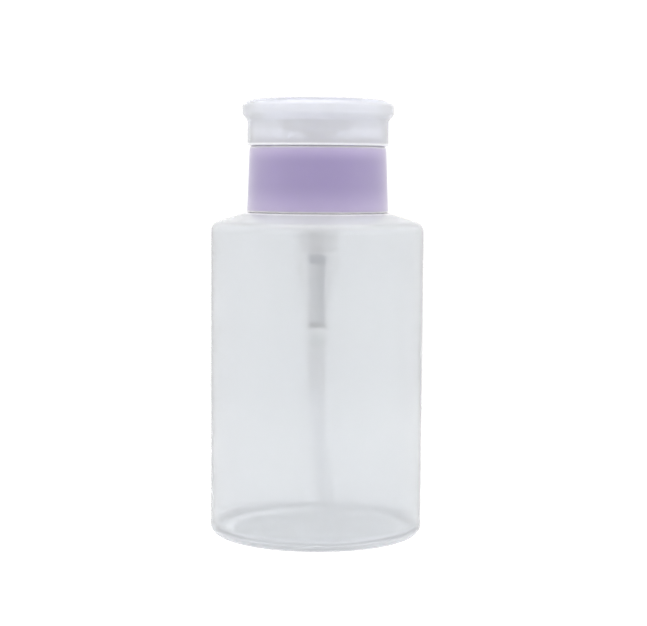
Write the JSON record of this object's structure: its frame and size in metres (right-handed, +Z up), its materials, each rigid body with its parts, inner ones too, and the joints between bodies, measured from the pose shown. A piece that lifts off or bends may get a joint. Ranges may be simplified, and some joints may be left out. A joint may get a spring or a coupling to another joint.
{
  "type": "nail polish remover pump bottle",
  "caption": "Frosted round bottle with a lilac screw collar, a press-down pump dish under a clear dust cap, a return spring and a dip tube.",
  "frame": {"origin": "centre of the base, on the surface that the bottle stands on", "axes": "+Z up along the bottle's axis, -Y towards the viewer of the front, +X to the right, the way the dip tube bends"},
  "size_m": [0.06, 0.06, 0.1228],
  "materials": {
    "frosted_pp": "blow moulded, frosted and translucent",
    "lilac_pp": "moulded, satin lilac, faintly translucent",
    "clear_pp": "moulded, hazy clear",
    "natural_pp": "moulded, undyed and translucent",
    "soft_pe": "moulded, soft white",
    "spring_steel": "drawn wire",
    "valve_glass": "polished",
    "tube_pe": "extruded, translucent"
  },
  "bodies": {
    "bottle": {"bottle": "frosted_pp"},
    "pump": {"pump_housing": "natural_pp", "stem_retainer": "natural_pp", "neck_gasket": "soft_pe", "return_spring": "spring_steel", "dip_tube": "tube_pe"},
    "collar": {"screw_collar": "lilac_pp"},
    "cap": {"dust_cap": "clear_pp"},
    "press_head": {"press_dish": "natural_pp", "outlet_insert": "natural_pp", "piston_stem": "natural_pp", "piston": "soft_pe"},
    "inlet_valve": {"inlet_ball": "valve_glass"},
    "outlet_valve": {"outlet_ball": "valve_glass"}
  },
  "joints": [
    {"name": "pump_lift", "type": "slide", "parent": "bottle", "child": "pump", "axis": [0, 0, 1], "range_m": [0, 0.005]},
    {"name": "collar_turn", "type": "hinge", "parent": "pump", "child": "collar", "pos_m": [0, 0, 0.1], "axis": [0, 0, 1], "range_deg": [0, 450]},
    {"name": "cap_pull", "type": "slide", "parent": "collar", "child": "cap", "axis": [0, 0, 1], "range_m": [0, 0.04]},
    {"name": "dish_press", "type": "slide", "parent": "pump", "child": "press_head", "axis": [0, 0, -1], "range_m": [0, 0.004], "stiffness_N_per_m": 700, "springref_m": -0.005, "deforming": ["return_spring"]},
    {"name": "inlet_ball_lift", "type": "slide", "parent": "pump", "child": "inlet_valve", "axis": [0, 0, 1], "range_m": [0, 0.0012]},
    {"name": "outlet_ball_lift", "type": "slide", "parent": "press_head", "child": "outlet_valve", "axis": [0, 0, 1], "range_m": [0, 0.0012]}
  ],
  "couplings": [
    {"joint": "pump_lift", "follows": "collar_turn", "m_per_rad": 0.00063662}
  ]
}
